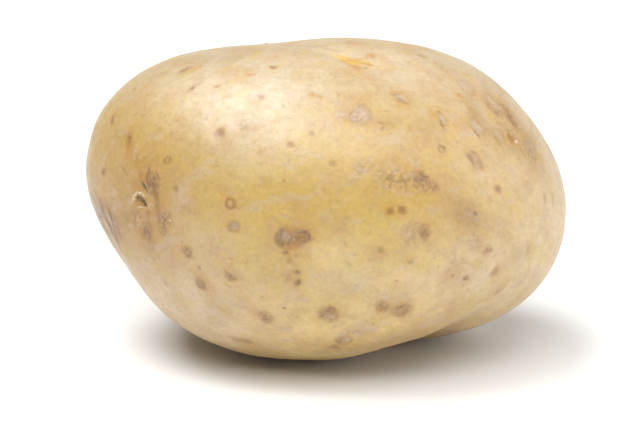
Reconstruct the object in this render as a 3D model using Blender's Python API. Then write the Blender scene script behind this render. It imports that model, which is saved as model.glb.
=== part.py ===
"""A raw potato lying on a table: one solid, since the tuber grew as one piece.

Run with: blender --background --python part.py

Frame: metres, +Z up. The origin is on the table, under the middle of the potato's box.
+X runs along its length, from the narrow end to the blunt one, and -Y is its front.

Places on the skin are directions from the potato's centre, given as (clock, towards) in degrees.
Clock runs anticlockwise round the outline, as the front shows it, from the blunt end.
Towards leans from that outline to the front (+) or to the back (-).
"""

import math

import bmesh
import bpy
from mathutils import Vector

MM = 0.001

# Driving dimensions: the plain ellipsoid that the lumps and hollows are added to.
LENGTH = 100.3 * MM
WIDTH = 72.5 * MM
HEIGHT = 68 * MM

# The ellipsoid leans back from the upright, and its long axis dips towards the blunt end.
LEAN = math.radians(18)
DIP = math.radians(5)

# The table cuts the round underside off a little, which leaves the flat spot that the potato rests on.
# Within SOFT_EDGE of the table, the flat spot runs smoothly into the round side.
CENTRE_HEIGHT = 33.4 * MM
SOFT_EDGE = 0.5 * MM

# The skin is a cube's grid blown up into a ball, with this many squares along each edge of the cube.
GRID = 32

# Broad lumps (+) and hollows (-): clock, towards, height, and spread in degrees.
LUMPS = {
    "shoulder_over_narrow_end": (152, 0, 3.9 * MM, 18),
    "dip_on_top": (113, 0, -1.2 * MM, 14),
    "hollow_under_narrow_end": (196, 0, -1.2 * MM, 9),
    "lower_front_corner": (229, 5, 2.6 * MM, 19),
    "upper_blunt_corner": (46, 0, 2.3 * MM, 18),
    "hollow_beneath_blunt_end": (299, 2, -5.4 * MM, 11),
    "lower_blunt_corner": (338, 0, 0.7 * MM, 11),
    "toe_under_blunt_end": (307, -8, 1.4 * MM, 8),
    "belly_in_front": (265, 45, 1.2 * MM, 24),
    "cheek_at_back": (140, -48, 2.0 * MM, 26),
    "flat_at_back": (35, -62, -2.2 * MM, 24),
    "heel_at_back": (310, -45, 1.4 * MM, 22),
}

# Long folds of the skin: the places that each runs through, its depth at the start, and its half-width.
FOLDS = {
    "under_blunt_end": (((282, -14), (297, 2), (311, 17), (331, 24)), 3.2 * MM, 2.3 * MM),
    "over_top": (((100, 18), (72, 34)), 0.6 * MM, 3.0 * MM),
}

# The basins of the eyes: place, depth, half-length, half-width, and the turn of the long way, anticlockwise.
EYES = {
    "narrow_end": ((180, 40), 0.7 * MM, 4.5 * MM, 2.6 * MM, 80),
    "narrow_end_below": ((190, 8), 1.1 * MM, 5.0 * MM, 2.4 * MM, 110),
    "top_front": ((84, 31), 0.8 * MM, 4.6 * MM, 2.2 * MM, 150),
    "blunt_shoulder": ((30, 28), 0.8 * MM, 4.6 * MM, 2.4 * MM, 60),
    "blunt_tip": ((4, -14), 1.1 * MM, 4.4 * MM, 2.6 * MM, 80),
    "blunt_back": ((350, -48), 1.2 * MM, 5.2 * MM, 2.6 * MM, 100),
    "top_back": ((78, -38), 1.2 * MM, 5.6 * MM, 2.6 * MM, 20),
    "middle_back": ((200, -74), 1.1 * MM, 5.4 * MM, 2.6 * MM, 90),
    "narrow_back": ((150, -42), 1.0 * MM, 5.0 * MM, 2.4 * MM, 60),
    "underside": ((262, -38), 1.0 * MM, 5.0 * MM, 2.4 * MM, 10),
}


def direction(clock, towards):
    """The unit vector from the potato's centre to a place on its skin."""
    clock, towards = math.radians(clock), math.radians(towards)
    along = Vector((1, 0, 0))
    up = Vector((0, math.sin(LEAN), math.cos(LEAN)))
    front = Vector((0, -math.cos(LEAN), math.sin(LEAN)))
    round_outline = along * math.cos(clock) + up * math.sin(clock)
    return round_outline * math.cos(towards) + front * math.sin(towards)


def bell(distance, width):
    """A smooth bump's height, 1 in the middle and falling away over width."""
    return math.exp(-0.5 * (distance / width) ** 2)


def ellipsoid_radius(out):
    dip = math.degrees(DIP)
    x = out.dot(direction(-dip, 0)) / (LENGTH / 2)
    y = out.dot(direction(0, 90)) / (WIDTH / 2)
    z = out.dot(direction(90 - dip, 0)) / (HEIGHT / 2)
    return 1 / math.sqrt(x * x + y * y + z * z)


def lump_height(out):
    return sum(
        height * bell(math.degrees(out.angle(direction(clock, towards))), spread)
        for clock, towards, height, spread in LUMPS.values()
    )


def nearest_on_path(out, path):
    """How far this direction is from a path of directions, and the share of the path that lies before."""
    best_gap, best_share = math.inf, 0
    steps = len(path) - 1
    for step in range(steps):
        run = path[step + 1] - path[step]
        share = min(max((out - path[step]).dot(run) / run.length_squared, 0), 1)
        gap = (out - (path[step] + run * share).normalized()).length
        if gap < best_gap:
            best_gap, best_share = gap, (step + share) / steps
    return best_gap, best_share


def fold_depth(out, radius):
    """How far the folds sink the skin here. Each is deepest at its start and runs out at its end."""
    total = 0
    for places, depth, width in FOLDS.values():
        gap, share = nearest_on_path(out, [direction(*place) for place in places])
        total += depth * (1 - share**2) * bell(gap * radius, width)
    return total


def eye_depth(out, radius):
    """How far the basins of the eyes sink the skin here."""
    total = 0
    for place, depth, half_length, half_width, turn in EYES.values():
        middle = direction(*place)
        on_far_side = out.dot(middle) < 0
        if on_far_side:
            continue
        across = Vector((0, 0, 1)).cross(middle).normalized()
        upward = middle.cross(across)
        turn = math.radians(turn)
        off = (out - middle) * radius
        long_way = off.dot(across * math.cos(turn) + upward * math.sin(turn))
        short_way = off.dot(upward * math.cos(turn) - across * math.sin(turn))
        total += depth * bell(long_way, half_length) * bell(short_way, half_width)
    return total


def rest_on_table(z):
    """The height z pressed up to the table's surface at 0, with a smooth edge."""
    if z < -SOFT_EDGE:
        return 0.0
    if z > SOFT_EDGE:
        return z
    return (z + SOFT_EDGE) ** 2 / (4 * SOFT_EDGE)


def skin_point(out):
    radius = ellipsoid_radius(out) + lump_height(out)
    radius -= fold_depth(out, radius) + eye_depth(out, radius)
    point = out * radius
    point.z = rest_on_table(point.z + CENTRE_HEIGHT)
    return point


def cube_ball():
    """A mesh ball of evenly sized squares, as unit vectors."""
    ball = bmesh.new()
    bmesh.ops.create_cube(ball, size=2)
    bmesh.ops.subdivide_edges(ball, edges=ball.edges, cuts=GRID - 1, use_grid_fill=True)
    for vert in ball.verts:
        vert.co = Vector(math.tan(c * math.pi / 4) for c in vert.co).normalized()
    return ball


def potato_mesh():
    skin = cube_ball()
    for vert in skin.verts:
        vert.co = skin_point(vert.co)
    xs = [vert.co.x for vert in skin.verts]
    ys = [vert.co.y for vert in skin.verts]
    middle = Vector(((min(xs) + max(xs)) / 2, (min(ys) + max(ys)) / 2, 0))
    bmesh.ops.translate(skin, verts=skin.verts, vec=-middle)
    mesh = bpy.data.meshes.new("potato")
    skin.to_mesh(mesh)
    skin.free()
    mesh.shade_smooth()
    return mesh


def skin_material():
    material = bpy.data.materials.new("potato_skin")
    material.use_nodes = True
    surface = material.node_tree.nodes["Principled BSDF"]
    surface.inputs["Base Color"].default_value = (0.68, 0.46, 0.20, 1)
    surface.inputs["Roughness"].default_value = 0.5
    surface.inputs["Metallic"].default_value = 0.0
    return material


def main():
    for old in list(bpy.data.objects):
        bpy.data.objects.remove(old)
    potato = bpy.data.objects.new("potato", potato_mesh())
    potato.data.materials.append(skin_material())
    bpy.context.scene.collection.objects.link(potato)


main()
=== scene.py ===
"""The looks of a raw potato lying on a white table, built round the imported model.

Metres, +Z up, as in the model: the origin is on the table, +X points to the blunt end and -Y to the
front.
Places on the skin are directions from the potato's centre, given as (clock, towards) in degrees.
Clock runs anticlockwise round the outline, as the front shows it, from the blunt end.
Towards leans from that outline to the front (+) or to the back (-).
"""

import itertools
import math

import bmesh
import bpy
import numpy as np
from mathutils import Matrix, Vector
from mathutils.bvhtree import BVHTree

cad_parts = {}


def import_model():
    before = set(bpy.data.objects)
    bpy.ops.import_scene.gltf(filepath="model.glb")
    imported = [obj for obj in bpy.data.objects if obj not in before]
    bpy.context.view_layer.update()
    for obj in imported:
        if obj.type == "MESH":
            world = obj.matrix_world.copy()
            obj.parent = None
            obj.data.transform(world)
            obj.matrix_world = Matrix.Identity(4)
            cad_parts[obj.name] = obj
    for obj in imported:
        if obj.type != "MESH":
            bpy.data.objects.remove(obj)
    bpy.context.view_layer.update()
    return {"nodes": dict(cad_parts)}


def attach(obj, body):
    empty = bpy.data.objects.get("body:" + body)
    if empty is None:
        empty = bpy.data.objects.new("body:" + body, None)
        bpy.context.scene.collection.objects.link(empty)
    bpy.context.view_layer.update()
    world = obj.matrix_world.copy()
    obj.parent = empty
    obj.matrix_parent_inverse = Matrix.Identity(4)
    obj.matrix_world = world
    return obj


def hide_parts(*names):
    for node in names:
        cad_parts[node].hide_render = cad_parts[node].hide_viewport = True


MM = 0.001

# How steeply the front view looks down, and the middle of the potato.
LEAN = math.radians(18)
CENTRE = Vector((0, 0, 33.4 * MM))

# The skin is a cube's grid blown up into a ball, with this many squares along each edge of the cube.
# Crowding pulls the squares towards the front, where they get smaller. The ball is then shrunk onto the
# model, whose flat faces are smoothed out in this many steps.
GRID = 128
CROWDING = 0.35
SMOOTH_STEPS = 12

# Colours of the skin and its marks, as the share of red, green and blue light that they send back.
INKS = {
    "gold": (0.47, 0.315, 0.065),
    "pale": (0.72, 0.545, 0.26),
    "cream": (0.50, 0.405, 0.275),
    # A greyish, paler paint that stands in for the whitish highlight of the key light and for the
    # reflections along the upper rims.
    "chalk": (0.45, 0.375, 0.275),
    "butter": (0.72, 0.52, 0.17),
    "blush": (0.57, 0.43, 0.28),
    "sand": (0.44, 0.30, 0.115),
    "tan": (0.34, 0.20, 0.06),
    "clay": (0.48, 0.315, 0.12),
    "pink": (0.43, 0.27, 0.115),
    "brown": (0.25, 0.135, 0.05),
    "amber": (0.44, 0.24, 0.05),
    "umber": (0.21, 0.10, 0.025),
    "purple": (0.25, 0.155, 0.085),
    "dark": (0.06, 0.03, 0.008),
    "bark": (0.13, 0.065, 0.018),
    "olive": (0.20, 0.11, 0.01),
    "rust": (0.38, 0.17, 0.025),
    "yolk": (0.60, 0.34, 0.03),
    "lilac": (0.45, 0.335, 0.235),
    "mauve": (0.38, 0.27, 0.16),
    "white": (0.72, 0.60, 0.45),
}

# How each kind of mark looks from its middle (0) to its edge (1): the colour, how much of it covers the
# skin, and how far it stands out, in millimetres. The last number is how far a fine net breaks it up.
KINDS = {
    "pore": (((0, "umber", 0.8, -0.12), (0.5, "umber", 0.6, -0.04), (1, "rust", 0, 0)), 0.1),
    "ring": (
        (
            (0, "lilac", 0.5, 0.03),
            (0.3, "tan", 0.5, 0),
            (0.55, "umber", 0.65, -0.06),
            (0.75, "umber", 0.5, -0.04),
            (1, "rust", 0, 0),
        ),
        0.1,
    ),
    "pit": (((0, "dark", 1, -0.4), (0.5, "bark", 0.9, -0.2), (1, "umber", 0, 0)), 0),
    "bud": (
        (
            (0, "dark", 0.9, -0.5),
            (0.4, "umber", 0.8, -0.1),
            (0.75, "tan", 0.6, 0.3),
            (1, "tan", 0, 0),
        ),
        0.1,
    ),
    "scab": (
        (
            (0, "brown", 0.8, -0.06),
            (0.5, "brown", 0.68, -0.02),
            (0.75, "umber", 0.4, 0.05),
            (1, "rust", 0, 0),
        ),
        0.4,
    ),
    "bruise": (
        (
            (0, "purple", 0.85, -0.06),
            (0.6, "purple", 0.75, -0.02),
            (0.8, "brown", 0.4, 0.04),
            (1, "rust", 0, 0),
        ),
        0.3,
    ),
    "lilac": (
        (
            (0, "lilac", 0.85, 0.05),
            (0.65, "mauve", 0.7, 0.03),
            (0.85, "brown", 0.3, -0.03),
            (1, "rust", 0, 0),
        ),
        0.12,
    ),
    "blot": (((0, "umber", 0.8, -0.03), (0.5, "umber", 0.5, -0.01), (1, "umber", 0, 0)), 0.2),
    "speck": (((0, "dark", 0.9, -0.1), (0.5, "umber", 0.75, -0.05), (1, "umber", 0, 0)), 0),
    "rust": (((0, "rust", 0.85, -0.03), (0.5, "rust", 0.55, 0), (1, "rust", 0, 0)), 0.2),
    "moss": (((0, "olive", 0.9, -0.05), (0.6, "olive", 0.65, -0.02), (1, "olive", 0, 0)), 0.1),
    "yolk": (((0, "yolk", 0.95, 0.06), (0.5, "yolk", 0.7, 0.03), (1, "yolk", 0, 0)), 0.4),
    "white": (((0, "white", 0.8, 0.12), (0.5, "white", 0.6, 0.08), (1, "white", 0, 0)), 0.2),
    "crack": (((0, "bark", 0.8, -0.2), (0.4, "umber", 0.6, -0.1), (1, "umber", 0, 0)), 0.1),
    "furrow": (((0, "umber", 0.9, -0.3), (0.5, "umber", 0.6, -0.12), (1, "umber", 0, 0)), 0.1),
    "net": (((0, "purple", 0.4, 0), (0.6, "purple", 0.3, 0), (1, "purple", 0, 0)), 1.0),
}

# Marks: kind, clock, towards, half-length and half-width in millimetres, turn in degrees, and strength.
MARKS = (
    # The narrow end: its eye, with a pale lip round a dark pit, and the cracks and scabs round it.
    ("blot", 181.2, 31.5, 2.2, 2.0, 0, 0.6),
    ("scab", 181.4, 31.7, 1.5, 1.2, -40, 1.0),
    ("white", 180.3, 29.4, 0.9, 0.28, 75, 0.8),
    ("white", 179.2, 30.2, 0.8, 0.28, 35, 0.8),
    ("white", 178.8, 31.6, 0.9, 0.28, -15, 0.8),
    ("white", 179.6, 32.6, 0.5, 0.25, -50, 0.7),
    ("white", 183.2, 31.2, 1.0, 0.25, 0, 0.6),
    ("white", 182.8, 32.9, 0.5, 0.3, 60, 0.8),
    ("pit", 180.2, 30.7, 0.9, 0.6, 0, 1.0),
    ("pit", 181.0, 31.9, 1.2, 0.7, -40, 1.0),
    ("pit", 182.2, 32.7, 0.9, 0.6, -50, 1.0),
    ("pit", 176.8, 33, 1.7, 0.5, -70, 1.0),
    ("crack", 174, 34, 1.5, 0.3, 88, 0.9),
    ("crack", 175.5, 35.5, 1.5, 0.4, -60, 1.0),
    ("crack", 172.5, 26, 1.8, 0.35, -60, 0.7),
    ("blot", 175.5, 34.8, 3.0, 1.8, 80, 1.0),
    ("moss", 177, 35.6, 1.6, 1.0, 80, 0.7),
    ("net", 174.5, 35.2, 3.0, 2.0, 80, 1.0),
    ("blot", 182, 36.6, 3.4, 0.8, 88, 0.9),
    ("blot", 185.5, 33, 1.4, 0.7, 80, 0.8),
    ("blot", 187, 35.8, 2.6, 0.8, 85, 0.9),
    ("blot", 190.2, 31, 2.6, 1.7, 80, 1.0),
    ("scab", 191.3, 31.2, 2.0, 1.3, 70, 1.0),
    ("blot", 186, 27.5, 1.8, 0.8, 80, 0.5),
    ("net", 187, 29, 3.0, 2.6, 80, 1.0),
    ("scab", 176, 36.5, 3.4, 1.2, 82, 0.8),
    ("blot", 168.5, 29.5, 2.6, 0.7, 85, 0.35),
    ("blot", 186.5, 25.5, 2.0, 0.8, 85, 0.5),
    ("scab", 189.5, 37, 2.8, 1.4, 88, 0.6),
    ("net", 189, 37.5, 3.2, 1.7, 88, 1.0),
    ("blot", 189, 37.5, 2.4, 1.0, 88, 0.4),
    ("crack", 188, 38.5, 1.0, 0.3, 80, 0.6),
    ("crack", 190, 39.5, 0.9, 0.3, 88, 0.6),
    ("scab", 183.5, 14.5, 3.0, 2.0, -82, 0.9),
    ("scab", 188.5, 16, 3.4, 1.6, -82, 0.8),
    ("crack", 183, 14.8, 3.0, 1.5, -82, 1.0),
    ("crack", 187.5, 15.6, 3.4, 1.5, -82, 1.0),
    ("crack", 191.5, 16.8, 2.4, 1.0, -80, 0.9),
    ("scab", 187.5, 18.5, 4.2, 2.4, -80, 0.6),
    ("bruise", 183, 9, 4.0, 4.0, -80, 0.8),
    ("scab", 187, 8, 4.0, 4.0, -80, 0.8),
    ("crack", 184, 10, 3.0, 1.6, -80, 0.9),
    ("crack", 184.5, 18.6, 2.4, 0.7, -78, 0.9),
    ("crack", 189.5, 20.0, 2.6, 0.5, -78, 0.6),
    ("blot", 184.5, 16.4, 4.0, 2.6, -82, 0.8),
    ("net", 187, 18.5, 4.0, 2.6, -80, 1.0),
    # Painted highlight: the white along the crease stands in for the light that its lip catches.
    ("white", 185.5, 17.2, 2.2, 0.5, -80, 0.5),
    ("blot", 164.5, 25, 2.2, 0.9, 82, 1.0),
    ("rust", 167.5, 26.5, 2.8, 1.3, 85, 0.5),
    ("scab", 160, 15, 1.5, 0.8, 70, 0.9),
    ("ring", 167, 39, 1.1, 1.0, 0, 0.9),
    ("moss", 173.5, 17.5, 1.3, 1.1, 0, 1.0),
    ("moss", 177, 42.5, 1.0, 0.9, 0, 0.7),
    ("blot", 183.5, 46, 1.6, 0.6, 0, 0.4),
    ("blot", 186.5, 47, 1.1, 0.5, 80, 0.4),
    # The upper left.
    ("pore", 149.5, 50.3, 1.7, 1.6, 0, 1.0),
    ("speck", 141, 31, 0.5, 0.4, 0, 1.0),
    ("blot", 141, 31, 2.4, 0.7, 28, 0.8),
    ("rust", 135, 36, 1.2, 0.7, 0, 1.0),
    ("speck", 135, 36.4, 0.5, 0.3, 0, 0.5),
    ("blot", 137, 21, 1.4, 0.8, 10, 0.6),
    ("blot", 138.5, 21.1, 1.6, 1.2, 20, 0.7),
    ("blot", 111.6, 38.0, 1.3, 0.8, 0, 0.8),
    ("rust", 122, 38, 1.3, 0.6, 0, 0.8),
    ("blot", 112, 38, 1.0, 0.6, 0, 0.6),
    ("scab", 123, 49.5, 1.3, 1.0, -30, 0.9),
    ("net", 139, 55, 2.6, 2.0, 0, 0.5),
    ("blot", 141, 55.8, 1.4, 1.0, 0, 0.6),
    ("rust", 137.5, 58, 0.8, 0.6, 0, 0.5),
    ("rust", 98, 54.5, 1.2, 0.8, 0, 0.6),
    ("blot", 95, 55.5, 1.0, 0.7, 0, 0.5),
    ("rust", 147, 64.5, 1.2, 0.9, 30, 0.6),
    ("pore", 125, 70, 1.1, 1.0, 0, 0.85),
    ("pore", 103, 69, 1.1, 0.8, -60, 0.8),
    ("pore", 80, 79.5, 1.1, 1.0, 0, 0.55),
    # The upper right.
    ("lilac", 67.5, 60.5, 3.0, 2.5, 80, 1.0),
    ("lilac", 72.5, 58.5, 1.5, 1.1, 60, 0.7),
    ("lilac", 80, 62.5, 1.8, 1.2, 0, 0.8),
    ("blot", 71, 63.6, 1.6, 0.5, 10, 0.8),
    ("net", 68, 61, 3.0, 2.4, 80, 0.7),
    ("net", 53, 61, 1.6, 1.1, -20, 0.8),
    ("blot", 74, 60, 1.2, 0.5, 80, 0.9),
    ("lilac", 53.5, 47.5, 2.5, 1.4, -28, 0.9),
    ("blot", 51.5, 48.6, 1.9, 0.5, -35, 0.8),
    ("blot", 56.5, 47.5, 1.4, 0.4, 30, 0.6),
    ("net", 53, 60, 2.4, 1.6, 0, 0.3),
    ("lilac", 34.5, 43.8, 2.1, 1.2, -65, 0.9),
    ("blot", 32.5, 45.0, 1.5, 0.5, -60, 0.9),
    ("blot", 36.5, 43.0, 1.2, 0.4, 70, 0.6),
    ("speck", 31.5, 46, 0.9, 0.5, -60, 0.5),
    ("ring", 22.5, 51, 1.2, 1.0, -60, 0.8),
    ("moss", 22.5, 51, 0.8, 0.6, -60, 0.6),
    ("lilac", 25.5, 35.5, 2.5, 1.8, -55, 1.0),
    ("blot", 23.3, 37.4, 1.8, 0.6, -45, 1.0),
    ("net", 31.5, 32, 1.8, 1.3, -40, 0.8),
    ("rust", 37.5, 31, 1.3, 0.7, -30, 0.7),
    ("lilac", 38.5, 24.5, 3.0, 2.2, -32, 0.8),
    ("lilac", 48.5, 30, 1.6, 1.0, -20, 0.6),
    ("blot", 56, 20.5, 1.6, 0.8, -15, 0.7),
    ("moss", 16, 70, 1.2, 0.8, 20, 0.6),
    ("scab", 13.5, 42.3, 2.4, 1.4, -60, 0.7),
    ("blot", 15.8, 44.0, 1.3, 0.7, -50, 1.0),
    ("blot", 12.0, 40.8, 1.6, 0.6, -75, 1.0),
    ("crack", 13.6, 43.4, 2.0, 0.5, -66, 0.9),
    ("crack", 16.8, 41.8, 1.2, 0.45, -15, 0.8),
    ("pore", 2.5, 37.5, 1.2, 1.1, 0, 1.0),
    ("net", 9, 60, 3.6, 2.6, -40, 1.0),
    ("blot", 10.5, 60.5, 2.6, 1.8, -45, 0.8),
    ("bruise", 9.5, 59.5, 1.9, 1.3, -45, 0.6),
    ("blot", 5.5, 57.0, 1.5, 1.0, 0, 0.6),
    # The blunt end's eye and the scabs round it.
    ("lilac", 29, 22, 3.6, 2.4, -55, 0.7),
    ("lilac", 22, 20, 3.0, 2.0, -62, 0.6),
    ("net", 24, 22, 5.6, 3.4, -60, 0.8),
    ("scab", 28, 24.5, 2.8, 1.0, -50, 0.6),
    ("scab", 23.5, 21, 3.2, 1.0, -60, 0.5),
    ("scab", 19.5, 28.6, 1.8, 1.0, -65, 0.5),
    ("lilac", 14, 21, 3.4, 2.4, -75, 0.7),
    ("net", 13, 22, 4.0, 2.6, -75, 0.8),
    ("lilac", 20, 30.5, 2.0, 1.3, -60, 0.8),
    ("blot", 18.7, 31.6, 1.5, 0.4, -60, 0.7),
    ("crack", 18.8, 26.4, 2.2, 0.5, -80, 0.9),
    ("rust", 17.8, 26.8, 1.5, 1.0, 80, 1.0),
    ("blot", 17.5, 25.8, 1.6, 0.6, 80, 0.8),
    # Painted highlight: a small white glint on the scab.
    ("white", 16.4, 25.6, 0.6, 0.5, 0, 0.8),
    ("crack", 13.5, 25, 2.4, 0.4, -65, 0.5),
    ("crack", 22, 22, 2.4, 0.4, -55, 0.6),
    ("crack", 26, 20, 2.6, 0.4, -55, 0.5),
    ("crack", 30, 21, 2.2, 0.4, -45, 0.5),
    ("blot", 359, 21, 1.8, 0.6, 88, 0.7),
    ("blot", 359, 17, 1.8, 0.5, 88, 0.6),
    # The lower left.
    ("ring", 184, 60, 1.5, 1.4, 0, 1.0),
    ("scab", 197.3, 59.4, 1.9, 1.7, 0, 0.7),
    ("lilac", 197.5, 59.7, 1.2, 1.1, 0, 0.6),
    ("scab", 201.3, 42, 1.9, 1.2, -40, 1.0),
    ("speck", 209, 42.3, 0.7, 0.6, -40, 0.6),
    ("scab", 214.7, 38.5, 2.0, 1.4, -50, 1.0),
    ("scab", 219.5, 48.8, 1.7, 1.1, -30, 1.0),
    ("rust", 212.5, 53.5, 0.7, 0.6, 0, 0.8),
    ("rust", 215, 52.5, 1.0, 0.5, 60, 0.5),
    ("crack", 208, 27, 1.6, 0.4, -60, 0.4),
    ("blot", 230, 73.4, 4.0, 2.8, 15, 0.6),
    ("bruise", 225, 71.8, 2.3, 2.4, 40, 1.0),
    ("scab", 224.5, 70.6, 2.0, 1.8, 40, 0.5),
    ("bruise", 236.5, 75.0, 2.6, 2.1, 15, 1.0),
    ("scab", 237.5, 75.2, 2.4, 1.8, 20, 0.9),
    ("blot", 239, 76.2, 1.6, 1.0, 20, 0.9),
    ("moss", 238.5, 75.6, 2.0, 1.3, 20, 0.6),
    ("moss", 226, 70.4, 1.5, 1.0, 10, 0.6),
    ("lilac", 224, 72.4, 1.2, 0.9, 40, 0.6),
    ("lilac", 232, 73.6, 0.8, 0.5, 30, 0.6),
    ("crack", 236, 76.6, 2.2, 0.35, 25, 0.7),
    ("crack", 230, 72.0, 1.6, 0.3, 50, 0.5),
    ("rust", 234, 71, 1.8, 0.7, 25, 0.6),
    ("rust", 238, 72, 1.4, 0.8, 30, 0.6),
    ("moss", 234, 68, 1.0, 0.9, 0, 0.9),
    ("moss", 240.5, 66.5, 0.9, 0.8, 0, 0.6),
    ("moss", 249, 64, 0.9, 0.7, -30, 1.0),
    ("moss", 252, 60.5, 1.0, 0.9, 60, 1.0),
    ("speck", 249.2, 64.2, 0.5, 0.35, -30, 0.6),
    ("speck", 252.2, 60.4, 0.6, 0.4, 60, 0.7),
    ("speck", 234, 68.2, 0.5, 0.4, 0, 0.6),
    ("speck", 329.5, 38.6, 0.7, 0.4, -20, 0.5),
    ("blot", 245, 61, 1.6, 1.0, 60, 0.5),
    # The lower right.
    ("scab", 243, 42.5, 1.7, 2.6, 0, 0.9),
    ("lilac", 243, 42.8, 0.9, 0.8, 20, 0.5),
    ("crack", 243.5, 41.0, 1.3, 0.3, 5, 0.5),
    ("crack", 245.5, 43.4, 1.0, 0.3, -70, 0.4),
    ("blot", 241.5, 42.5, 1.5, 1.0, -40, 0.6),
    ("speck", 249, 49, 0.5, 0.45, 0, 0.7),
    ("scab", 271, 49.5, 2.6, 3.0, 5, 0.9),
    ("lilac", 271.5, 48.5, 1.6, 0.7, 5, 0.5),
    ("crack", 271, 50.9, 1.9, 0.35, 12, 0.5),
    ("crack", 268.5, 48.6, 1.3, 0.3, 60, 0.5),
    ("white", 272.5, 48.2, 0.9, 0.2, 5, 0.45),
    ("blot", 272.5, 52, 1.4, 0.7, 0, 0.9),
    ("white", 270.5, 49, 1.0, 0.3, 10, 0.4),
    ("blot", 268.5, 49, 1.4, 0.9, 60, 0.7),
    ("scab", 297, 48.5, 1.7, 2.1, 10, 0.8),
    ("rust", 296, 47, 1.2, 1.0, 10, 0.5),
    ("scab", 304, 44, 2.7, 2.3, 10, 0.75),
    ("crack", 303.5, 45.6, 2.2, 0.35, 18, 0.6),
    ("crack", 305.5, 43.2, 1.7, 0.35, 62, 0.6),
    ("crack", 296.5, 49.6, 1.2, 0.3, 60, 0.5),
    ("blot", 304, 45.5, 1.9, 0.5, 15, 0.8),
    ("blot", 303, 43.5, 1.6, 0.4, 60, 0.8),
    ("blot", 302.5, 41.5, 1.2, 1.2, 0, 0.6),
    ("moss", 315.5, 66, 0.9, 0.8, -30, 0.7),
    ("speck", 309.5, 55, 0.5, 0.4, 0, 0.6),
    ("pore", 347, 70, 1.2, 1.1, 0, 1.0),
    ("pore", 349.5, 66.5, 1.3, 1.2, 0, 1.0),
    ("lilac", 336, 62.5, 2.0, 1.6, 90, 0.45),
    ("net", 336.5, 61.5, 3.4, 2.6, 60, 0.6),
    ("scab", 340.5, 58, 2.0, 1.4, 80, 1.0),
    ("speck", 353.5, 44.5, 0.7, 0.6, 0, 0.65),
    ("net", 353, 47, 4.2, 3.0, -40, 0.4),
    ("net", 343, 43, 3.8, 2.2, -70, 0.5),
    ("scab", 341.5, 37.5, 1.4, 1.2, 0, 0.9),
    ("moss", 329.5, 38.5, 1.0, 0.7, -20, 0.9),
    ("speck", 328, 43, 0.6, 0.5, 60, 0.5),
    ("blot", 336, 31.5, 1.5, 0.9, 45, 0.8),
    ("blot", 345.5, 24, 1.8, 0.8, 75, 0.7),
    ("blot", 331, 24.5, 1.5, 0.7, 50, 0.6),
    ("blot", 322, 57, 1.1, 0.9, 0, 0.6),
    ("net", 12, 67, 6.5, 3.0, -15, 0.8),
    ("net", 40, 75, 2.8, 2.0, 0, 0.7),
    ("scab", 277, 35.4, 2.0, 2.8, 5, 0.7),
    ("lilac", 278, 35.8, 1.3, 1.8, 5, 1.0),
    ("blot", 275, 34.8, 0.9, 1.9, 0, 0.9),
    ("blot", 273, 30, 1.7, 1.9, 0, 0.9),
    ("net", 283, 39, 2.6, 1.2, 0, 0.6),
    ("blot", 239.5, 23.5, 3.4, 1.6, 0, 0.6),
    ("blot", 241.8, 24, 1.2, 1.1, 0, 0.9),
    # The yellow crack at the top, and the furrow behind it.
    ("yolk", 83.5, 32, 1.4, 0.9, -20, 0.8),
    ("yolk", 80, 35.5, 1.5, 1.2, -20, 1.0),
    ("yolk", 77, 36.5, 1.3, 0.8, -30, 0.8),
    ("speck", 79.5, 36.6, 0.6, 0.4, 0, 0.4),
    ("speck", 77.6, 34.2, 0.6, 0.5, 0, 0.4),
    ("speck", 73.3, 39.1, 0.7, 0.5, 0, 0.45),
    ("rust", 77.1, 39.3, 1.4, 0.9, -30, 0.9),
    ("rust", 82.1, 36.5, 0.8, 0.6, 0, 0.8),
    ("rust", 80.5, 32.5, 0.8, 0.4, -20, 0.8),
    ("rust", 76.5, 32.5, 0.9, 0.4, -30, 1.0),
    ("rust", 73, 36, 1.6, 0.5, -35, 0.9),
    ("rust", 72.7, 29.5, 1.6, 1.6, 0, 1.0),
    ("rust", 79, 39, 1.6, 0.6, -30, 0.4),
    ("blot", 94, 22, 3.0, 0.5, -12, 0.6),
    ("blot", 88, 26, 2.6, 0.4, -20, 0.5),
    # The wrinkles and a crumb beside the narrow end's eye.
    ("crack", 171.5, 34, 1.6, 0.3, 75, 0.8),
    ("crack", 173, 37, 1.5, 0.3, -70, 0.7),
    ("crack", 178.5, 36.5, 1.2, 0.3, -75, 0.7),
    ("blot", 187, 40, 1.8, 0.7, 80, 0.6),
    ("moss", 189, 38.8, 0.5, 0.4, 0, 0.8),
    ("white", 188.6, 39.6, 0.35, 0.3, 0, 0.7),
)

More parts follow.
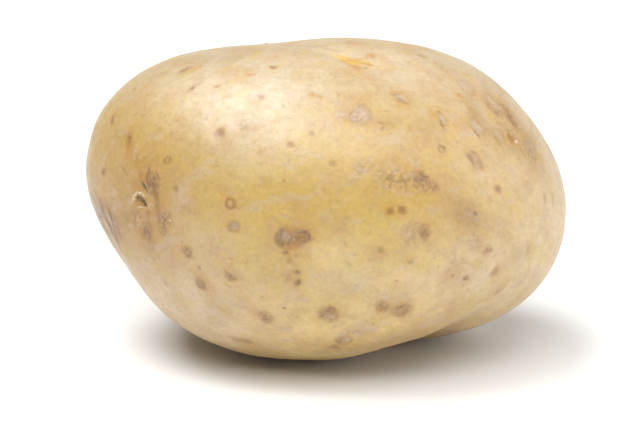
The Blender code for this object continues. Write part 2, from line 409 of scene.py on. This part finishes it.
# Soft stains: colour, clock, towards, half-length and half-width in millimetres, turn in degrees, and
# share.
STAINS = (
    ("brown", 182, 33, 9.0, 5.2, 88, 0.7),
    ("amber", 187, 31, 3.8, 3.2, 0, 0.9),
    ("brown", 176, 34, 5.0, 3.0, 80, 0.85),
    ("brown", 188, 35, 5.0, 3.0, 85, 0.6),
    ("amber", 173, 30, 5.0, 3.0, 85, 0.5),
    ("brown", 186, 45.5, 3.0, 1.4, 0, 0.35),
    ("lilac", 174, 36, 3.0, 1.6, 80, 0.6),
    ("lilac", 183, 44, 4.0, 3.0, 80, 0.35),
    ("brown", 192, 32, 3.0, 2.0, 80, 0.7),
    ("brown", 188, 20, 4.0, 3.0, -70, 0.5),
    ("amber", 167, 25, 3.0, 1.8, 80, 0.5),
    ("lilac", 154, 12, 2.6, 1.6, 60, 0.6),
    ("amber", 159, 16, 2.0, 1.6, 60, 0.5),
    ("brown", 186, 16, 6.0, 4.5, -80, 0.9),
    ("amber", 187, 21, 4.0, 2.4, -80, 0.6),
    ("amber", 149, 49, 2.2, 2.0, 0, 0.25),
    ("pink", 135, 20, 5.0, 2.0, 20, 0.35),
    ("pink", 105, 20, 8.0, 2.0, 0, 0.3),
    ("amber", 122, 37, 2.2, 1.0, 0, 0.35),
    ("amber", 96, 55, 2.2, 1.4, 0, 0.4),
    ("lilac", 76, 62, 4.8, 3.0, -10, 0.75),
    ("amber", 76, 65, 3.0, 1.0, 0, 0.4),
    ("butter", 80, 34, 6.0, 2.2, -25, 0.8),
    ("yolk", 78, 33, 3.0, 1.0, -25, 0.6),
    ("blush", 149.5, 49.5, 2.8, 2.4, 0, 0.6),
    ("brown", 14, 36, 5.0, 4.0, -60, 0.35),
    ("tan", 32, 50, 5.0, 3.5, -40, 0.4),
    ("yolk", 74, 42, 2.4, 1.4, 0, 0.5),
    ("amber", 55, 47, 3.0, 1.8, -28, 0.5),
    ("amber", 37, 45, 2.6, 1.6, -50, 0.5),
    ("brown", 28, 33, 3.4, 2.2, -45, 0.45),
    ("amber", 37, 31, 2.4, 1.4, -30, 0.5),
    ("lilac", 42, 24, 6.0, 2.4, -35, 0.5),
    ("lilac", 25, 20, 8.0, 5.0, -60, 0.6),
    ("brown", 26, 25, 4.0, 2.0, -60, 0.4),
    ("lilac", 14, 22, 6.0, 4.4, -70, 0.6),
    ("brown", 15, 28, 3.4, 2.4, -70, 0.4),
    ("brown", 14, 43, 2.6, 1.8, -50, 0.4),
    ("brown", 9, 60, 3.0, 2.4, -30, 0.45),
    ("pink", 12, 66, 8.0, 4.0, -15, 0.45),
    ("pink", 355, 50, 6.0, 4.0, -35, 0.5),
    ("brown", 352, 46, 4.4, 2.6, -35, 0.55),
    ("brown", 343, 40, 3.6, 2.0, -70, 0.35),
    ("lilac", 338, 61, 3.6, 3.0, 0, 0.4),
    ("amber", 341, 56, 2.0, 1.6, 0, 0.4),
    ("amber", 348, 68, 3.0, 1.6, 0, 0.35),
    ("brown", 228, 73, 4.4, 3.0, 20, 0.45),
    ("amber", 240, 69, 3.4, 2.4, -50, 0.5),
    ("amber", 247, 62, 2.8, 2.0, 0, 0.4),
    ("amber", 184, 60, 2.4, 2.2, 0, 0.5),
    ("amber", 197, 58, 2.6, 2.2, 0, 0.35),
    ("amber", 201, 40, 2.2, 1.6, 0, 0.5),
    ("amber", 214, 40, 2.6, 1.8, -50, 0.6),
    ("brown", 220, 50, 2.2, 1.6, -30, 0.35),
    ("brown", 271, 50, 3.6, 2.4, 0, 0.4),
    ("brown", 243, 43, 2.6, 2.0, 0, 0.4),
    ("lilac", 303, 51, 5.0, 3.0, 20, 0.55),
    ("brown", 302, 45, 4.4, 2.4, 10, 0.4),
    ("amber", 315, 67, 2.2, 1.8, 0, 0.5),
    ("amber", 322, 58, 2.0, 2.4, 0, 0.35),
    ("lilac", 283, 42, 3.4, 1.4, 10, 0.4),
    ("amber", 330, 38, 1.8, 1.4, 0, 0.4),
    ("pink", 341, 38, 2.4, 2.0, 0, 0.5),
    ("amber", 190, 78, 6.0, 4.0, 0, 0.2),
    ("blush", 335, 36, 9.0, 6.0, 30, 0.6),
    ("blush", 215, 24, 9.0, 6.0, -50, 0.6),
    ("cream", 200, 50, 6.0, 5.0, 0, 0.3),
    ("pale", 274, 74, 8.0, 5.0, 0, 0.5),
    ("cream", 133, 18, 8.0, 3.0, 20, 0.6),
    ("cream", 76, 28, 9.0, 3.0, -10, 0.4),
    ("cream", 55, 42, 6.0, 4.0, -20, 0.4),
    ("cream", 50, 18, 8.0, 3.0, -30, 0.5),
    # Painted shade: the tan and sand in this row and the next five darken the lower edge and the fold at
    # the lower right, where the skin turns down towards the table.
    ("tan", 300, 22, 9.0, 4.0, 10, 0.5),
    ("tan", 305, 29, 10.0, 4.4, 8, 0.7),
    ("tan", 291, 30, 10.0, 4.4, 5, 0.65),
    ("tan", 275, 27, 9.0, 4.0, 0, 0.5),
    ("tan", 317, 17, 8.0, 5.0, 20, 0.7),
    ("sand", 322, 31, 7.0, 4.0, 20, 0.5),
    ("cream", 285, 62, 9.0, 5.0, 0, 0.4),
    ("brown", 184, 21, 5.0, 4.0, 0, 0.5),
    ("brown", 181, 10, 7.0, 4.0, -80, 0.6),
    ("amber", 30, 40, 4.0, 2.4, -50, 0.4),
    ("brown", 25, 30, 5.0, 2.4, -60, 0.15),
    # Painted shade in the fold at the lower right.
    ("sand", 321, 27, 6.0, 4.0, 20, 0.5),
    ("sand", 5, 33, 6.0, 4.0, -70, 0.6),
    ("brown", 185, 9, 6.0, 5.0, -80, 0.9),
    ("blush", 331, 43, 7.0, 4.0, 20, 0.5),
    ("blush", 320, 50, 7.0, 4.0, 10, 0.4),
    ("sand", 15, 46, 5.0, 4.0, -50, 0.5),
    ("yolk", 268, 33, 12.0, 4.0, 0, 0.2),
)

# Colours of broad areas: clock, towards, colour, spread in degrees, and weight against the rest.
AREAS = (
    (270, 35, "pale", 26, 1.6),
    (335, 30, "pale", 20, 1.2),
    (218, 20, "blush", 14, 2.4),
    (222, 38, "blush", 14, 1.4),
    (2, 12, "blush", 16, 1.6),
    (335, 14, "blush", 12, 0.8),
    # The cream over the top is paler skin and painted sheen: part of its whitish tone stands in for the
    # reflection of the overhead lights.
    (90, 22, "cream", 26, 2.0),
    # Painted highlight: this area and the one at clock 145 grey and whiten the skin where the key light's
    # highlight falls.
    (125, 50, "chalk", 14, 2.6),
    (144, 24, "cream", 9, 1.4),
    (145, 60, "chalk", 7, 1.2),
    (161, 32, "gold", 10, 1.4),
    (215, 76, "gold", 14, 2.2),
    (35, 20, "cream", 16, 1.8),
    (66, 36, "cream", 13, 1.2),
    (334, 33, "cream", 12, 1.3),
    # Painted reflections: this area and the next whiten the skin along the upper left and upper right
    # rims.
    (131, 17, "chalk", 8, 1.4),
    (33, 21, "chalk", 9, 1.2),
    (221, 28, "cream", 9, 1.2),
    (15, 45, "amber", 9, 0.5),
    (12, 42, "pink", 12, 1.2),
    (3, 41, "gold", 10, 1.2),
    (50, 78, "pink", 9, 0.8),
    (240, 86, "tan", 7, 0.6),
    (80, 82, "tan", 7, 0.6),
    (40, 48, "sand", 16, 0.8),
    (182, 32, "tan", 15, 2.2),
    # Painted shade: the tan darkens the lower edge near where the potato touches the table. The gold
    # after it lays the skin's own colour on more strongly along the lower edge, standing in for the brown
    # light bounced up from the table's shadow.
    (305, 6, "tan", 10, 1.2),
    (288, 4, "gold", 18, 1.6),
    (255, -30, "gold", 25, 1.6),
    (90, -30, "cream", 30, 0.8),
    (180, -45, "clay", 35, 0.8),
    (0, -60, "sand", 40, 0.8),
    (270, -60, "pale", 25, 0.6),
    (180, 75, "gold", 25, 1.8),
    (0, 75, "gold", 18, 1.4),
)

# Uneven colour all over the skin: colour, wavelength in millimetres, the noise values where it starts and
# where it is full, its share there, and how the noise is squeezed along each axis.
TEXTURES = (
    ("tan", 11, 0.45, 0.75, 0.45, (1, 1, 1)),
    ("pink", 6, 0.45, 0.70, 0.55, (1, 1, 1)),
    ("lilac", 3.2, 0.52, 0.68, 0.40, (0.7, 1, 1)),
    ("gold", 4.5, 0.52, 0.70, 0.40, (1, 1, 1)),
    ("tan", 1.6, 0.55, 0.75, 0.25, (0.4, 1, 1)),
    ("lilac", 1.7, 0.58, 0.72, 0.30, (1, 1, 1)),
    ("brown", 1.2, 0.60, 0.78, 0.5, (1, 1, 1)),
)

# Eyes on the sides that the front view hides: clock, towards, and size in millimetres.
HIDDEN_EYES = (
    (350, -48, 2.6),
    (78, -38, 2.4),
    (200, -74, 2.4),
    (150, -42, 2.2),
    (262, -38, 2.2),
    (4, -14, 2.0),
)

# Each kind of mark spread at random over the hidden sides, how many there are, and their largest
# half-length in millimetres.
SPREAD = (
    ("moss", 34, 1.5),
    ("blot", 50, 2.6),
    ("scab", 34, 3.2),
    ("lilac", 24, 3.4),
    ("rust", 26, 1.8),
    ("net", 30, 7.0),
    ("bud", 8, 1.6),
)

# The same for soft stains.
STAIN_SPREAD = (
    ("tan", 16, 9.0),
    ("pink", 16, 10.0),
    ("lilac", 16, 8.0),
    ("amber", 18, 4.0),
    ("brown", 10, 4.0),
)

MARK_SEED = 11
STAIN_SEED = 12

# The bumps of the skin: wavelength and height in millimetres. Bumps and marks rise less and less below
# this height above the table.
BUMPS = ((12, 0.20), (5, 0.10), (2.4, 0.04), (1.2, 0.015))
FLAT_BELOW = 3 * MM

# Marks and stains are ellipsoids set in the skin, and this is how far they reach into it and out of it.
MARK_DEPTH = 6 * MM

# The weight of gold under all the areas.
GROUND = 0.4

# How much of the skin just round a mark turns amber, and how sharply halos and stains fade out.
HALO = 0.3
HALO_FADE = 0.5
STAIN_FADE = 1.5

# How the edges of stains, painted marks and crisp marks are made uneven: wavelengths and sways in
# millimetres.
STAIN_EDGES = ((3, 1.2), (1.1, 0.5))
MARK_EDGES = ((1.8, 0.45), (0.8, 0.25))
CRISP_EDGES = ((1.5, 0.4), (0.5, 0.25))

# The kinds that are too fine for the mesh, so the material draws them.
CRISP = ("speck", "crack", "white", "pit", "ring", "pore")

# Fine noise in the material: wavelength in millimetres, detail, the two noise values that it runs
# between, and what it gives at each. Crumbs scale how far marks cover the skin, nets darken and lighten
# the marks that they break up, and dust scales every colour.
CRUMBS = (0.9, 3.0, 0.35, 0.65, 0.65, 1.3)
NETS = (0.8, 2.0, 0.4, 0.6, -0.4, 0.6)
DUST = (0.9, 4.0, 0.3, 0.7, 0.94, 1.05)

# The detail of the noise in the textures and the material's bumps.
TEXTURE_DETAIL = 4.0
BUMP_DETAIL = 3.0

# The material's own bumps, which are too fine for the mesh: two wavelengths in millimetres, the share of
# the finer one, and their strength and height.
PIMPLES = 1.6
GRAIN = 0.5
GRAIN_SHARE = 0.3
BUMP_STRENGTH = 0.6
BUMP_HEIGHT = 0.12 * MM

# The two noise values of the pimples that the roughness runs between, and the roughness at each.
ROUGHNESS = (0.35, 0.65, 0.34, 0.47)

# How strongly the skin shines, and how strong and how wide its sheen is.
SPECULAR = 0.75
SHEEN = 0.04
SHEEN_ROUGHNESS = 0.4

# The table's side in metres, and its grey.
TABLE_SIDE = 1.3
TABLE_GREY = 0.85

# The camera: its lens and sensor in millimetres, how far away it is in metres, and what it looks at.
LENS = 120
SENSOR = 36
CAMERA_AWAY = 0.455
CAMERA_TARGET = Vector((-1.35, -1.1, 30.35)) * MM

# The softboxes: the way they stand from the potato, their two sides in metres, and their power in watts.
# They all stand at the same distance, in metres.
SOFTBOXES = (
    ("key", (-0.35, 0.03, 0.92), (0.8, 0.7), 13.4),
    ("front", (-0.07, -0.5, 0.86), (1.2, 0.8), 12.3),
    ("right", (1, -0.2, 0.6), (0.8, 0.9), 7.2),
    ("back", (0.2, 0.7, 0.8), (1.2, 0.6), 2.4),
)
SOFTBOX_AWAY = 1.2

# The brightness of the room at the horizon and overhead, and the height (as a sine) where it gets dark.
ROOM_LIGHT = 0.9
ROOM_DARK = 0.03
ROOM_TOP = 0.35


def direction(clock, towards):
    """The unit vector from the potato's centre to a place on its skin."""
    clock, towards = math.radians(clock), math.radians(towards)
    along = Vector((1, 0, 0))
    up = Vector((0, math.sin(LEAN), math.cos(LEAN)))
    front = Vector((0, -math.cos(LEAN), math.sin(LEAN)))
    round_outline = along * math.cos(clock) + up * math.sin(clock)
    return round_outline * math.cos(towards) + front * math.sin(towards)


def cube_ball():
    """A mesh ball of squares, which are smaller and closer together at the front."""
    ball = bmesh.new()
    bmesh.ops.create_cube(ball, size=2)
    bmesh.ops.subdivide_edges(ball, edges=ball.edges, cuts=GRID - 1, use_grid_fill=True)
    for vert in ball.verts:
        even = Vector(math.tan(part * math.pi / 4) for part in vert.co).normalized()
        vert.co = (even + direction(0, 90) * CROWDING).normalized()
    mesh = bpy.data.meshes.new("potato_skin")
    ball.to_mesh(mesh)
    ball.free()
    return mesh


def read_places(mesh):
    places = np.empty(len(mesh.vertices) * 3)
    mesh.vertices.foreach_get("co", places)
    return places.reshape(-1, 3)


def smoothed(mesh, places):
    """Each place moved halfway to the mean of its neighbours, several times over."""
    edges = np.empty(len(mesh.edges) * 2, int)
    mesh.edges.foreach_get("vertices", edges)
    first, second = edges.reshape(-1, 2).T
    count = np.bincount(edges, minlength=len(places))
    for _ in range(SMOOTH_STEPS):
        for axis in range(3):
            line = places[:, axis]
            total = np.bincount(first, line[second], len(line))
            total += np.bincount(second, line[first], len(line))
            places[:, axis] = (line + total / count) / 2
    return places


def soft_noise(places, wavelength, seed):
    """Smooth random values between -1 and 1, one for each place."""
    cells = places / wavelength
    low = np.floor(cells).astype(int)
    share = cells - low
    share = share * share * (3 - 2 * share)
    low -= low.min(axis=0)
    lattice = np.random.default_rng(seed).uniform(-1, 1, low.max(axis=0) + 2)
    total = np.zeros(len(places))
    for corner in itertools.product((0, 1), repeat=3):
        weight = np.prod(np.where(corner, share, 1 - share), axis=1)
        total += weight * lattice[tuple((low + corner).T)]
    return total


def pushed_about(places, edges):
    """The places moved a little at random, which makes the edges of stains and marks uneven."""
    for wavelength, sway in edges:
        sways = np.column_stack([soft_noise(places, wavelength * MM, seed) for seed in (1, 2, 3)])
        places = places + sway * MM * sways
    return places


def placed(tree, row):
    """A mark's row with its direction and turn replaced by its place and its own axes."""
    name, clock, towards, half_length, half_width, turn, strength = row
    out = direction(clock, towards)
    along = (Vector((1, 0, 0)) - out * out.x).normalized()
    turn = math.radians(turn)
    long_way = along * math.cos(turn) + out.cross(along) * math.sin(turn)
    axes = Matrix((long_way, out.cross(long_way), out)).transposed()
    size = (half_length * MM, half_width * MM, MARK_DEPTH)
    return name, tree.ray_cast(CENTRE, out)[0], axes, size, strength


def hidden_eye_rows(clock, towards, size):
    """A bud on a blot, its brow drawn as an arc of short furrows, and a net of scab beside it."""
    yield "blot", clock, towards, size * 1.6, size, 0, 0.7
    yield "bud", clock, towards, size * 0.8, size * 0.5, 0, 1.0
    for step in range(-3, 4):
        rise = 3.6 - 0.25 * step * step
        turn = 75 + 9 * step
        yield "furrow", clock + rise, towards + 1.6 * step, size * 0.45, size * 0.24, turn, 1.0
    yield "net", clock - 3, towards - 2, size * 2.2, size * 1.2, 20, 0.8


def spread_rows(spread, seed):
    """Marks or stains at random on the back and underneath, where the front view shows nothing."""
    rng = np.random.default_rng(seed)
    for kind, count, largest in spread:
        for _ in range(count):
            # The sine is -1 straight at the back, and 0.05 just in front of the outline.
            towards = math.degrees(math.asin(rng.uniform(-1, 0.05)))
            length = largest * rng.uniform(0.5, 1)
            width = length * rng.uniform(0.45, 0.9)
            clock = rng.uniform(0, 360)
            turn = rng.uniform(-90, 90)
            yield kind, clock, towards, length, width, turn, rng.uniform(0.5, 1)


def reach(places, mark):
    """How far each place is from the mark's middle, where 1 is the mark's edge."""
    _, middle, axes, size, _ = mark
    return np.linalg.norm((places - np.array(middle)) @ np.array(axes) / np.array(size), axis=1)


def faded(places, mark, fade):
    """How much a mark that fades out smoothly covers each place."""
    return mark[-1] * np.exp(-fade * reach(places, mark) ** 2)[:, None]


def relief(places, marks):
    """How far the marks and bumps lift the skin at each place."""
    height = np.zeros(len(places))
    for mark in marks:
        stops, _ = KINDS[mark[0]]
        rise = [stop[3] * MM for stop in stops]
        height += mark[-1] * np.interp(reach(places, mark), [stop[0] for stop in stops], rise)
    for seed, (wavelength, rise) in enumerate(BUMPS):
        height += soft_noise(places, wavelength * MM, seed) * rise * MM
    return height


def skin_object(tree, marks, stains):
    """The ball shrunk onto the model, raised by its bumps and marks, and painted."""
    mesh = cube_ball()
    outs = read_places(mesh)
    distance = np.array([tree.ray_cast(CENTRE, Vector(out))[3] for out in outs])
    places = smoothed(mesh, np.array(CENTRE) + outs * distance[:, None])
    places[:, 2] = np.maximum(places[:, 2], 0)
    mesh.vertices.foreach_set("co", places.ravel())
    normals = np.empty(places.size)
    mesh.vertex_normals.foreach_get("vector", normals)
    off_table = np.clip(places[:, 2] / FLAT_BELOW, 0, 1)
    raised = places + normals.reshape(-1, 3) * (relief(places, marks) * off_table)[:, None]
    raised[:, 2] = np.maximum(raised[:, 2], 0)
    mesh.vertices.foreach_set("co", raised.ravel())
    mesh.shade_smooth()
    for name, colours in zip(("base", "marks", "nets"), painted(places, outs, marks, stains)):
        layer = mesh.attributes.new(name, "FLOAT_COLOR", "POINT")
        layer.data.foreach_set("color", colours.ravel())
    skin = bpy.data.objects.new("potato_skin", mesh)
    bpy.context.scene.collection.objects.link(skin)
    return skin


def painted(places, outs, marks, stains):
    """Three layers: the stained skin, the marks with how much they cover it, and the marks' nets."""
    base = np.tile(np.array(INKS["gold"]) * GROUND, (len(outs), 1))
    weight = np.full(len(outs), GROUND)
    for clock, towards, ink, spread, share in AREAS:
        angle = np.degrees(np.arccos(np.clip(outs @ np.array(direction(clock, towards)), -1, 1)))
        near = share * np.exp(-0.5 * (angle / spread) ** 2)
        base += near[:, None] * np.array(INKS[ink])
        weight += near
    base /= weight[:, None]
    uneven = pushed_about(places, STAIN_EDGES)
    for stain in stains:
        cover = faded(uneven, stain, STAIN_FADE)
        base = base * (1 - cover) + np.array(INKS[stain[0]]) * cover
    for mark in marks:
        cover = HALO * faded(uneven, mark, HALO_FADE)
        base = base * (1 - cover) + np.array(INKS["amber"]) * cover
    ragged = pushed_about(places, MARK_EDGES)
    over = np.zeros((len(outs), 4))
    netted = np.zeros(len(outs))
    for mark in marks:
        stops, broken = KINDS[mark[0]]
        if mark[0] in CRISP:
            continue
        far = reach(ragged, mark)
        stages = [stop[0] for stop in stops]
        cover = mark[-1] * np.interp(far, stages, [stop[2] for stop in stops])
        ink = [np.interp(far, stages, [INKS[stop[1]][part] for stop in stops]) for part in range(3)]
        ink = np.column_stack((*ink, np.ones(len(outs))))
        over = over * (1 - cover[:, None]) + ink * cover[:, None]
        netted = np.maximum(netted, cover * broken)
    whole = np.ones((len(outs), 1))
    return np.hstack((base, whole)), over, np.hstack((np.tile(netted[:, None], 3), whole))


class Nodes:
    """Adds nodes to a material, and links their sockets. Wavelengths are in millimetres."""

    def __init__(self, material):
        material.use_nodes = True
        self.tree = material.node_tree
        self.surface = self.tree.nodes["Principled BSDF"]

    def add(self, kind, inputs=None, **settings):
        made = self.tree.nodes.new("ShaderNode" + kind)
        for name, value in settings.items():
            setattr(made, name, value)
        for key, value in (inputs or {}).items():
            if isinstance(value, bpy.types.NodeSocket):
                self.tree.links.new(value, made.inputs[key])
            else:
                made.inputs[key].default_value = value
        return made

    def math(self, operation, first, second, third=0.0):
        return self.add("Math", {0: first, 1: second, 2: third}, operation=operation).outputs[0]

    def vector(self, operation, first, second, third=(0, 0, 0)):
        return self.add("VectorMath", {0: first, 1: second, 2: third}, operation=operation).outputs[0]

    def scaled(self, vector, scale):
        return self.add("VectorMath", {0: vector, "Scale": scale}, operation="SCALE").outputs[0]

    def mix(self, factor, first, second):
        """One colour over another. Among this node's sockets, 6 and 7 take colours and 2 gives one."""
        return self.add("Mix", {0: factor, 6: first, 7: second}, data_type="RGBA").outputs[2]

    def noise(self, place, wavelength, detail=2.0):
        scale = 1 / (wavelength * MM)
        return self.add("TexNoise", {"Vector": place, "Scale": scale, "Detail": detail})

    def smooth_step(self, value, low, high, out_low, out_high):
        inputs = {
            "Value": value,
            "From Min": low,
            "From Max": high,
            "To Min": out_low,
            "To Max": out_high,
        }
        return self.add("MapRange", inputs, interpolation_type="SMOOTHSTEP").outputs[0]

    def smooth_noise(self, place, wavelength, detail, low, high, out_low, out_high):
        value = self.noise(place, wavelength, detail).outputs["Fac"]
        return self.smooth_step(value, low, high, out_low, out_high)

    def wobble(self, place, wavelength, sway):
        """The place pushed about by noise, which makes edges uneven."""
        swing = self.noise(place, wavelength).outputs["Color"]
        centred = self.vector("SUBTRACT", swing, (0.5, 0.5, 0.5))
        return self.vector("ADD", place, self.scaled(centred, 2 * sway * MM))


def crisp_mark(nodes, colour, ragged, mark):
    """The colour with one mark over it, drawn by the distance from the mark's middle."""
    kind, middle, axes, size, strength = mark
    inputs = {"Vector": ragged, "Location": middle, "Rotation": axes.to_euler(), "Scale": size}
    local = nodes.add("Mapping", inputs, vector_type="TEXTURE").outputs[0]
    far = nodes.add("VectorMath", {0: local}, operation="LENGTH").outputs["Value"]
    ramp = nodes.add("ValToRGB", {"Fac": far})
    stops = ramp.color_ramp.elements
    rows, _ = KINDS[kind]
    while len(stops) < len(rows):
        stops.new(0.5)
    for stop, (position, ink, share, _) in zip(stops, rows):
        stop.position = position
        stop.color = (*INKS[ink], share * strength)
    return nodes.mix(ramp.outputs["Alpha"], colour, ramp.outputs["Color"])


def skin_colour(nodes, place, marks):
    """The painted layers, with uneven colour between the skin and its marks, and crisp marks on top."""
    colour = nodes.add("Attribute", attribute_name="base").outputs["Color"]
    over = nodes.add("Attribute", attribute_name="marks")
    netted = nodes.add("Attribute", attribute_name="nets").outputs["Fac"]
    for ink, wavelength, low, high, share, squeeze in TEXTURES:
        # Each texture is shifted by its own numbers, so that no two of them line up.
        moved = nodes.vector("MULTIPLY_ADD", place, squeeze, (share, wavelength, low))
        cover = nodes.smooth_noise(moved, wavelength, TEXTURE_DETAIL, low, high, 0, share)
        colour = nodes.mix(cover, colour, (*INKS[ink], 1))
    cover = nodes.math("MULTIPLY", over.outputs["Alpha"], nodes.smooth_noise(place, *CRUMBS))
    # The painted layer holds its colours times how much they cover, so that is divided out again.
    share = nodes.math("DIVIDE", 1.0, nodes.math("MAXIMUM", over.outputs["Alpha"], 0.01))
    colour = nodes.mix(cover, colour, nodes.scaled(over.outputs["Color"], share))
    shade = nodes.math("MULTIPLY_ADD", nodes.smooth_noise(place, *NETS), netted, 1.0)
    colour = nodes.scaled(colour, shade)
    ragged = place
    for wavelength, sway in CRISP_EDGES:
        ragged = nodes.wobble(ragged, wavelength, sway)
    for mark in marks:
        if mark[0] in CRISP:
            colour = crisp_mark(nodes, colour, ragged, mark)
    return nodes.scaled(colour, nodes.smooth_noise(place, *DUST))


def skin_material(marks):
    material = bpy.data.materials.new("potato_skin")
    nodes = Nodes(material)
    place = nodes.add("TexCoord").outputs["Object"]
    colour = skin_colour(nodes, place, marks)
    pimples = nodes.noise(place, PIMPLES, BUMP_DETAIL).outputs["Fac"]
    grain = nodes.noise(place, GRAIN, BUMP_DETAIL).outputs["Fac"]
    bumps = nodes.math("ADD", nodes.math("MULTIPLY", grain, GRAIN_SHARE), pimples)
    bump = nodes.add("Bump", {"Strength": BUMP_STRENGTH, "Distance": BUMP_HEIGHT, "Height": bumps})
    roughness = nodes.smooth_step(pimples, *ROUGHNESS)
    nodes.surface.inputs["Specular IOR Level"].default_value = SPECULAR
    nodes.surface.inputs["Sheen Weight"].default_value = SHEEN
    nodes.surface.inputs["Sheen Roughness"].default_value = SHEEN_ROUGHNESS
    links = nodes.tree.links
    links.new(colour, nodes.surface.inputs["Base Color"])
    links.new(roughness, nodes.surface.inputs["Roughness"])
    links.new(bump.outputs["Normal"], nodes.surface.inputs["Normal"])
    return material


def floor():
    bpy.ops.mesh.primitive_plane_add(size=TABLE_SIDE)
    plane = bpy.context.object
    plane.name = "floor"
    material = bpy.data.materials.new("floor")
    material.use_nodes = True
    surface = material.node_tree.nodes["Principled BSDF"]
    surface.inputs["Base Color"].default_value = (TABLE_GREY, TABLE_GREY, TABLE_GREY, 1)
    surface.inputs["Roughness"].default_value = 0.8
    surface.inputs["Specular IOR Level"].default_value = 0.1
    plane.data.materials.append(material)


def aim(thing, target):
    thing.rotation_mode = "QUATERNION"
    thing.rotation_quaternion = (target - thing.location).to_track_quat("-Z", "Y")


def camera():
    data = bpy.data.cameras.new("camera")
    data.lens = LENS
    data.sensor_width = SENSOR
    data.clip_start = 0.01
    obj = bpy.data.objects.new("camera", data)
    bpy.context.scene.collection.objects.link(obj)
    obj.location = CAMERA_TARGET + direction(0, 90) * CAMERA_AWAY
    aim(obj, CAMERA_TARGET)
    bpy.context.scene.camera = obj


def softbox(name, way, size, power):
    data = bpy.data.lights.new(name, "AREA")
    data.shape = "RECTANGLE"
    data.size, data.size_y = size
    data.energy = power
    obj = bpy.data.objects.new(name, data)
    bpy.context.scene.collection.objects.link(obj)
    obj.location = CENTRE + Vector(way).normalized() * SOFTBOX_AWAY
    aim(obj, CENTRE)


def studio():
    """Softboxes overhead, in a room that is bright along the horizon and dark above it."""
    world = bpy.data.worlds.new("studio")
    world.use_nodes = True
    nodes, links = world.node_tree.nodes, world.node_tree.links
    way = nodes.new("ShaderNodeTexCoord")
    split = nodes.new("ShaderNodeSeparateXYZ")
    fade = nodes.new("ShaderNodeMapRange")
    fade.interpolation_type = "SMOOTHSTEP"
    fade.inputs["From Max"].default_value = ROOM_TOP
    fade.inputs["To Min"].default_value = ROOM_LIGHT
    fade.inputs["To Max"].default_value = ROOM_DARK
    links.new(way.outputs["Generated"], split.inputs[0])
    links.new(split.outputs["Z"], fade.inputs["Value"])
    links.new(fade.outputs[0], nodes["Background"].inputs["Strength"])
    nodes["Background"].inputs["Color"].default_value = (1, 1, 1, 1)
    bpy.context.scene.world = world
    for name, way, size, power in SOFTBOXES:
        softbox(name, way, size, power)
    bpy.context.scene.view_settings.view_transform = "Standard"


def main():
    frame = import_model()
    solid = frame["nodes"]["potato"].data
    corners = [vert.co for vert in solid.vertices]
    tree = BVHTree.FromPolygons(corners, [tuple(face.vertices) for face in solid.polygons])
    hidden_eyes = itertools.chain.from_iterable(hidden_eye_rows(*eye) for eye in HIDDEN_EYES)
    marks = [placed(tree, row) for row in (*MARKS, *hidden_eyes, *spread_rows(SPREAD, MARK_SEED))]
    stains = [placed(tree, row) for row in (*STAINS, *spread_rows(STAIN_SPREAD, STAIN_SEED))]
    skin = skin_object(tree, marks, stains)
    skin.data.materials.append(skin_material(marks))
    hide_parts("potato")
    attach(skin, "root")
    floor()
    camera()
    studio()


main()
